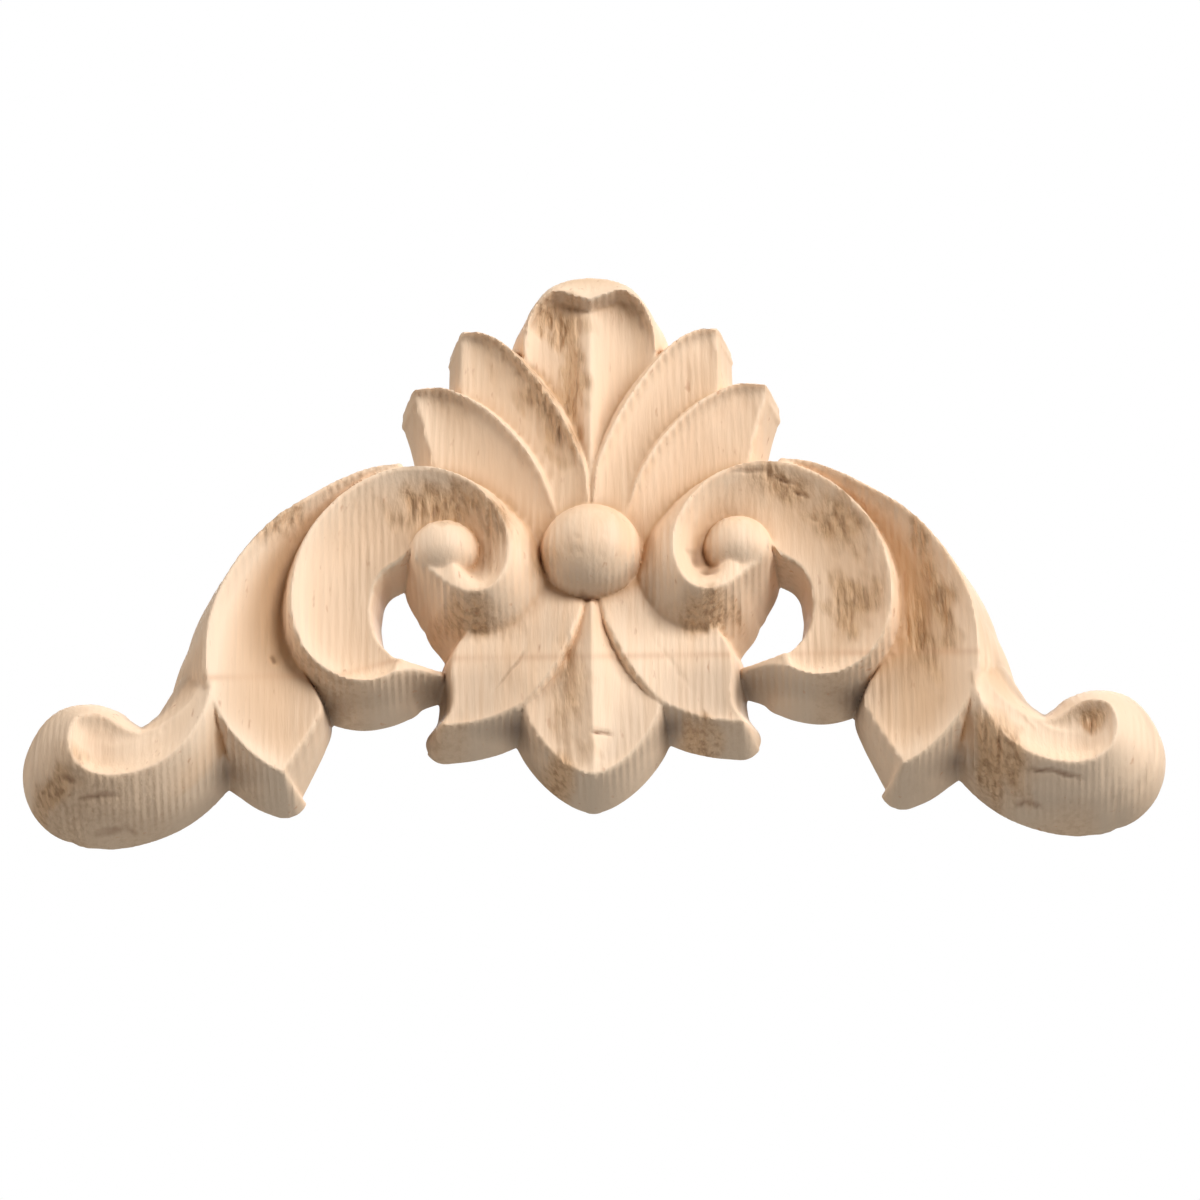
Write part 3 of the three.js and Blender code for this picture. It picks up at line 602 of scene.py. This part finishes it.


# How far each place shows the ends of the fibres, which run up and down, on walls facing down,
# where the darker colour is also painted shade; how hollow it lies beside the ground near it and
# further off, and how deep it lies in a notch of the outline, for painted shade there; and where the
# growth ring crosses
def woodMasks(h, x, y, stepX, stepY):
    sizes, aside, solid = maskSizes, np.abs(x), np.maximum(h, 0)
    slopeX, slopeY, steep = slopes(blur(h, *sizes["smooth"]), stepX, stepY)
    # walls facing down get a darker, greyer colour: partly their end grain, partly painted shade
    endGrainAndShade = np.clip(slopeY, 0, None) / np.sqrt(1 + steep ** 2)
    # painted shade where a place lies below the ground near it
    hollowShade = fade(blur(solid, *sizes["near"]) - h, *sizes["hollowShade"])
    hollowShade = hollowShade * fade(h, *sizes["hollowHeight"])
    hollowShade = hollowShade * (1 - 0.5 * fade(steep, *sizes["hollowSlope"]))
    wooded = blur(np.clip(h, 0, 1), *sizes["far"])
    # painted shade in notches of the outline, low down
    notchShade = fade(wooded, *sizes["notchWood"]) * fade(h, *sizes["notchHeight"])
    notchShade = notchShade * fade(y, *sizes["notchDown"])
    ground = blur(solid, *sizes["far"]) / np.maximum(wooded, 0.2)
    # painted warm shade where a place lies below the ground further off
    valleyShade = fade(ground - h, *sizes["valleyShade"]) * fade(h, *sizes["valleyHeight"])
    valleyShade = valleyShade * fade(steep, *sizes["valleySlope"])
    valleyShade = valleyShade * np.maximum(fade(aside, *sizes["valleyAside"]), fade(y, *sizes["valleyUp"]))
    valleyShade = valleyShade * (1 + sizes["armMore"] * fade(aside, *sizes["arm"]))
    valleyShade = valleyShade * (1 - fade(aside, *sizes["foot"]))
    ring = sizes["ring"] - sizes["ringLean"] * h
    ring = ring - sizes["ringDrop"] * fade(x, *sizes["ringLeft"])
    ring = np.exp(-((y - ring) / sizes["ringWidth"]) ** 2)
    ring = ring * (0.35 + softNoise(x, y, 3.0, 2.0, seed=29)) * (steep < 1)
    return {"endGrainAndShade": endGrainAndShade, "hollowShade": hollowShade, "notchShade": notchShade, "valleyShade": valleyShade,
            "ring": ring}


# Leaves and domes together, softened and thinned out to the mesh's own cells, then
# marked by the cutter, torn and dented
def carveRelief():
    stepX = cutter["step"] / cutter["columnsPerStep"]
    stepY = relief["rowHeight"]
    finer = relief["finer"]
    field = HeightField(stepX / finer, stepY / finer)
    for leaf in leaves.values():
        top = leafTop(leaf, relief["alongEach"] * len(leaf["outer"]), relief["across"])
        for quads in (gridQuads(top), leafWalls(leaf, top)):
            field.add(quads)
            field.add(mirrored(quads))
    for d in domes.values():
        field.add(domeQuads(d))
        if d["both"]:
            field.add(mirrored(domeQuads(d)))
    h = blur(field.h, *relief["softening"])[::finer, ::finer]
    x = field.x0 + np.arange(h.shape[1]) * stepX
    y = field.y0 + np.arange(h.shape[0]) * stepY
    x, y = np.meshgrid(x, y)
    report("relief worked out")
    h = cutterMarks(h, x, y, stepX, stepY)
    h, torn = tornGrain(h, x, y, stepX, stepY)
    h, cut = addDents(h, x, y)
    h = np.minimum(h, relief["top"])
    masks = woodMasks(h, x, y, stepX, stepY)
    masks["torn"] = torn
    masks["cut"] = cut
    report("cutter marks and torn grain")
    return x, y, h, masks


# The field becomes a mesh: a vertex for each cell, cut at the back plane, and
# the back closed flat. The face looks along -Y, with x across and y up.
def reliefPiece(name, x, y, h, masks):
    rows, columns = h.shape
    keep = np.maximum.reduce([h[:-1, :-1], h[1:, :-1], h[1:, 1:], h[:-1, 1:]]) > 0.0
    number = np.arange(rows * columns).reshape(rows, columns)
    a, b = number[:-1, :-1][keep], number[:-1, 1:][keep]
    c, d = number[1:, 1:][keep], number[1:, :-1][keep]
    flip = np.abs(h.ravel()[a] - h.ravel()[c]) > np.abs(h.ravel()[b] - h.ravel()[d])
    tris = np.concatenate([np.stack([a, b, np.where(flip, d, c)], 1),
                           np.stack([np.where(flip, b, a), c, d], 1)])
    used, tris = np.unique(tris, return_inverse=True)
    tris = tris.reshape(-1, 3)
    points = np.stack([x.ravel()[used], -h.ravel()[used], y.ravel()[used]], 1) * 0.001
    mesh = bpy.data.meshes.new(name)
    mesh.vertices.add(len(points))
    mesh.vertices.foreach_set("co", points.ravel())
    mesh.loops.add(len(tris) * 3)
    mesh.loops.foreach_set("vertex_index", tris.ravel().astype(np.int32))
    mesh.polygons.add(len(tris))
    mesh.polygons.foreach_set("loop_start", (np.arange(len(tris)) * 3).astype(np.int32))
    mesh.update(calc_edges=True)
    for key, values in masks.items():
        mask = mesh.attributes.new(key, "FLOAT", "POINT")
        mask.data.foreach_set("value", values.ravel()[used].astype(np.float32))
    bm = bmesh.new()
    bm.from_mesh(mesh)
    back = bm.faces.layers.float.new("back")
    bmesh.ops.bisect_plane(bm, geom=bm.verts[:] + bm.edges[:] + bm.faces[:], dist=1e-7,
                           plane_co=(0, 0, 0), plane_no=(0, 1, 0), clear_outer=True)
    loose = [v for v in bm.verts if not v.link_faces]
    bmesh.ops.delete(bm, geom=loose, context="VERTS")
    border = [e for e in bm.edges if e.is_boundary]
    filled = bmesh.ops.triangle_fill(bm, use_beauty=True, use_dissolve=False, edges=border,
                                     normal=(0, 1, 0))
    for item in filled["geom"]:
        if isinstance(item, bmesh.types.BMFace):
            item[back] = 1.0
    bmesh.ops.recalc_face_normals(bm, faces=bm.faces[:])
    openEdges = sum(1 for e in bm.edges if not e.is_manifold)
    print("triangles", len(bm.faces), "open edges", openEdges)
    bm.to_mesh(mesh)
    bm.free()
    flat = np.zeros(len(mesh.polygons), np.float32)
    mesh.attributes["back"].data.foreach_get("value", flat)
    mesh.polygons.foreach_set("use_smooth", flat < 0.5)
    mesh.set_sharp_from_angle(angle=math.radians(50))
    piece = bpy.data.objects.new(name, mesh)
    bpy.context.scene.collection.objects.link(piece)
    return piece


# A colour as a screen shows it, 0 to 255, as light
def toLinear(r, g, b):
    def one(v):
        v = v / 255.0
        return v / 12.92 if v <= 0.04045 else ((v + 0.055) / 1.055) ** 2.4
    return (one(r), one(g), one(b), 1.0)


wood = {
    "pale": toLinear(251, 221, 191),
    "deep": toLinear(244, 205, 168),
    "fleck": toLinear(186, 128, 92),
    "torn": toLinear(206, 160, 112),
    "tornDark": toLinear(140, 98, 62),
    # end grain and painted shade on walls facing down
    "endGrainAndShade": toLinear(201, 177, 151),
    # painted shade in hollows
    "hollowShade": toLinear(194, 148, 106),
    # painted warm shade in valleys
    "valleyShade": toLinear(211, 166, 122),
    # painted shade in notches
    "notchShade": toLinear(96, 76, 62),
    "ring": toLinear(214, 164, 124),
    "cut": toLinear(128, 84, 54),
    "roughness": 0.62,
    # where each mask of the mesh begins to show, and where it is full
    "masks": {"endGrainAndShade": (0.15, 0.95), "valleyShade": (0.0, 1.6), "hollowShade": (0.1, 1.1),
              "notchShade": (0.0, 1.3), "torn": (0.05, 0.9), "cut": (0.05, 0.3),
              "ring": (0.0, 1.2), "back": (0.0, 1.0)},
    "tornShare": 0.65,     # how far the torn colour covers the wood
    "ringShare": 0.5,
    # patterns: cells a metre, how drawn out they are up the grain, what part of the
    # noise shows, and how strongly
    "clouds": {"scale": 38.0, "drawn": 0.6, "detail": 3.0, "low": 0.35, "high": 0.68,
               "share": 1.0},
    "streaks": {"scale": 1100.0, "drawn": 0.05, "detail": 3.0, "low": 0.35, "high": 0.7,
                "share": 0.6},
    "flecks": {"scale": 1500.0, "drawn": 0.14, "detail": 4.0, "low": 0.46, "high": 0.66,
               "share": 0.6},
    "dashes": {"scale": 1300.0, "drawn": 0.3, "detail": 2.0, "low": 0.68, "high": 0.78,
               "share": 0.5},
    "fibreBump": {"scale": 2200.0, "drawn": 0.1, "detail": 4.0, "strength": 0.4,
                  "distance": 0.0002},
    "tornBump": {"scale": 1700.0, "drawn": 0.2, "detail": 3.0, "strength": 0.8,
                 "distance": 0.0006},
}


# A shader node with its sockets or settings filled in
def node(tree, kind, **values):
    n = tree.nodes.new(kind)
    for key, value in values.items():
        if key in n.inputs:
            n.inputs[key].default_value = value
        else:
            setattr(n, key, value)
    return n


# Pale wood with drawn out streaks, coloured further by the masks on the mesh, some of which paint
# shade on walls facing down and in hollows, valleys and notches
def makeWood():
    material = bpy.data.materials.new("paleCarvedWood")
    material.use_nodes = True
    tree = material.node_tree
    link = tree.links.new
    shader = tree.nodes["Principled BSDF"]
    shader.inputs["Roughness"].default_value = wood["roughness"]
    place = tree.nodes.new("ShaderNodeTexCoord")

    def noise(pattern):
        along = node(tree, "ShaderNodeMapping", Scale=(1.0, 1.0, pattern["drawn"]))
        link(place.outputs["Object"], along.inputs["Vector"])
        n = node(tree, "ShaderNodeTexNoise", Scale=pattern["scale"], Detail=pattern["detail"])
        link(along.outputs["Vector"], n.inputs["Vector"])
        return n.outputs["Fac"]

    def ramp(value, low, high):
        r = node(tree, "ShaderNodeMapRange")
        r.inputs["From Min"].default_value = low
        r.inputs["From Max"].default_value = high
        r.inputs["To Min"].default_value = 0.0
        r.inputs["To Max"].default_value = 1.0
        link(value, r.inputs["Value"])
        return r.outputs["Result"]

    def mix(share, one, two):
        m = node(tree, "ShaderNodeMix", data_type="RGBA")
        link(share, m.inputs["Factor"])
        for socket, value in (("A", one), ("B", two)):
            target = [s for s in m.inputs if s.name == socket and s.type == "RGBA"][0]
            if isinstance(value, tuple):
                target.default_value = value
            else:
                link(value, target)
        return [s for s in m.outputs if s.type == "RGBA"][0]

    def mask(name):
        attribute = node(tree, "ShaderNodeAttribute", attribute_name=name)
        return ramp(attribute.outputs["Fac"], *wood["masks"][name])

    def times(one, two):
        m = node(tree, "ShaderNodeMath", operation="MULTIPLY")
        link(one, m.inputs[0])
        if isinstance(two, float):
            m.inputs[1].default_value = two
        else:
            link(two, m.inputs[1])
        return m.outputs["Value"]

    def shown(name):
        pattern = wood[name]
        return times(ramp(noise(pattern), pattern["low"], pattern["high"]), pattern["share"])

    torn = mask("torn")
    streaks = shown("streaks")
    colour = mix(shown("clouds"), wood["pale"], wood["deep"])
    colour = mix(streaks, colour, wood["pale"])
    # painted shade: walls facing down (with their end grain), valleys, hollows and notches made
    # darker
    for name in ("endGrainAndShade", "valleyShade", "hollowShade", "notchShade"):
        colour = mix(mask(name), colour, wood[name])
    colour = mix(times(torn, wood["tornShare"]), colour, wood["torn"])
    colour = mix(mask("cut"), colour, wood["cut"])
    colour = mix(times(shown("flecks"), torn), colour, wood["tornDark"])
    colour = mix(shown("dashes"), colour, wood["fleck"])
    colour = mix(times(mask("ring"), wood["ringShare"]), colour, wood["ring"])
    plain = mix(streaks, wood["deep"], wood["pale"])
    colour = mix(mask("back"), colour, plain)
    link(colour, shader.inputs["Base Color"])
    fine, coarse = wood["fibreBump"], wood["tornBump"]
    bump = node(tree, "ShaderNodeBump", Strength=fine["strength"], Distance=fine["distance"])
    link(noise(fine), bump.inputs["Height"])
    rough = node(tree, "ShaderNodeBump", Distance=coarse["distance"])
    link(times(torn, coarse["strength"]), rough.inputs["Strength"])
    link(noise(coarse), rough.inputs["Height"])
    link(rough.outputs["Normal"], bump.inputs["Normal"])
    link(bump.outputs["Normal"], shader.inputs["Normal"])
    return material


photoCamera = {
    "sensor": 36.0,
    "focalPixels": 6191.25,      # focal length in pixels of the photo
    "framePixels": 1200.0,
    "tilt": 28.0,                # degrees that it looks up from below
    "yaw": 0.7557,
    "roll": 0.4559,
    "origin": (-0.8175, 2.2894, -650.0),  # the part's origin seen from the camera, in mm
}


# The photo's camera: turned by yaw, then tilt, then roll, with the origin where the
# photo has it. Its axes are drawn on the face and then turned upright.
def makeCamera():
    camera = bpy.data.cameras.new("camera")
    camera.sensor_width = photoCamera["sensor"]
    camera.lens = photoCamera["sensor"] * photoCamera["focalPixels"] / photoCamera["framePixels"]
    camera.clip_start = 0.01
    eye = bpy.data.objects.new("camera", camera)
    bpy.context.scene.collection.objects.link(eye)
    bpy.context.scene.camera = eye
    tilt, yaw, roll = [math.radians(photoCamera[key]) for key in ("tilt", "yaw", "roll")]
    turnYaw = np.array([[math.cos(yaw), 0, -math.sin(yaw)], [0, 1, 0],
                        [math.sin(yaw), 0, math.cos(yaw)]])
    turnTilt = np.array([[1, 0, 0], [0, math.cos(tilt), math.sin(tilt)],
                         [0, -math.sin(tilt), math.cos(tilt)]])
    turnRoll = np.array([[math.cos(roll), -math.sin(roll), 0],
                         [math.sin(roll), math.cos(roll), 0], [0, 0, 1]])
    view = turnRoll @ turnTilt @ turnYaw
    place = -np.array(photoCamera["origin"]) @ view * 0.001
    upright = np.array([[1, 0, 0], [0, 0, -1], [0, 1, 0]], float)
    matrix = np.eye(4)
    matrix[:3, :3] = upright @ view.T
    matrix[:3, 3] = upright @ place
    eye.matrix_world = Matrix([list(row) for row in matrix])


# A round lamp at a distance in one direction, turned towards the piece
def makeLight(name, towards, distance, size, power, colour):
    lamp = bpy.data.lights.new(name, "AREA")
    lamp.shape = "DISK"
    lamp.size = size
    lamp.energy = power
    lamp.color = colour
    direction = np.array(towards, float)
    direction /= np.linalg.norm(direction)
    obj = bpy.data.objects.new(name, lamp)
    obj.location = direction * distance
    obj.rotation_euler = Vector(direction).to_track_quat("Z", "Y").to_euler()
    bpy.context.scene.collection.objects.link(obj)


studio = {
    # where each lamp stands: degrees from straight in front, and round from the right
    "lamps": {
        "key": {"aside": 42, "round": 42, "size": 0.42, "power": 9.3, "colour": (0.98, 1.0, 1.0)},
        "right": {"aside": 66, "round": 22, "size": 0.45, "power": 4.9, "colour": (1.0, 1.0, 1.0)},
        "left": {"aside": 72, "round": 148, "size": 0.5, "power": 5.2, "colour": (1.0, 0.98, 0.94)},
        "behind": {"aside": 150, "round": 80, "size": 0.9, "power": 9.0, "colour": (1, 1, 1)},
    },
    "away": 1.1,           # distance of the lamps
    "sky": 0.06,           # light from all round
    "floorDrop": 0.45,
    "floorRadius": 0.6,    # small, so that low views look past it
    "floorSides": 96,
    "floorColour": (0.8, 0.8, 0.8, 1),
    "floorGlow": 0.015,
}


# A small round floor well below the piece, the lamps, and a plain white ground
def makeStage():
    mesh = bpy.data.meshes.new("floor")
    sides, radius = studio["floorSides"], studio["floorRadius"]
    turns = [2 * math.pi * k / sides for k in range(sides)]
    mesh.from_pydata([(radius * math.cos(t), radius * math.sin(t), -studio["floorDrop"])
                      for t in turns], [], [tuple(range(sides))])
    floor = bpy.data.objects.new("floor", mesh)
    bpy.context.scene.collection.objects.link(floor)
    paint = bpy.data.materials.new("paleFloor")
    paint.use_nodes = True
    paper = paint.node_tree.nodes["Principled BSDF"]
    paper.inputs["Base Color"].default_value = studio["floorColour"]
    paper.inputs["Roughness"].default_value = 0.9
    paper.inputs["Emission Color"].default_value = studio["floorColour"]
    paper.inputs["Emission Strength"].default_value = studio["floorGlow"]
    mesh.materials.append(paint)
    for name, lamp in studio["lamps"].items():
        aside, turn = math.radians(lamp["aside"]), math.radians(lamp["round"])
        towards = (math.sin(aside) * math.cos(turn), -math.cos(aside),
                   math.sin(aside) * math.sin(turn))
        makeLight(name + "Light", towards, studio["away"], lamp["size"], lamp["power"],
                  lamp["colour"])
    world = bpy.data.worlds.new("studioWorld")
    bpy.context.scene.world = world
    world.use_nodes = True
    tree = world.node_tree
    back = tree.nodes["Background"]
    path = tree.nodes.new("ShaderNodeLightPath")
    seen = tree.nodes.new("ShaderNodeMix")
    tree.links.new(path.outputs["Is Camera Ray"], seen.inputs["Factor"])
    seen.inputs["A"].default_value = studio["sky"]
    seen.inputs["B"].default_value = 1.0
    tree.links.new(seen.outputs["Result"], back.inputs["Strength"])
    back.inputs["Color"].default_value = (1, 1, 1, 1)
    bpy.context.scene.view_settings.view_transform = "Standard"


makeCamera()
x, y, h, masks = carveRelief()
onlay = reliefPiece("carved_onlay", x, y, h, masks)
onlay.data.materials.append(makeWood())
report("mesh")
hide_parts("corner_onlay")
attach(onlay, "root")
makeStage()
report("scene")
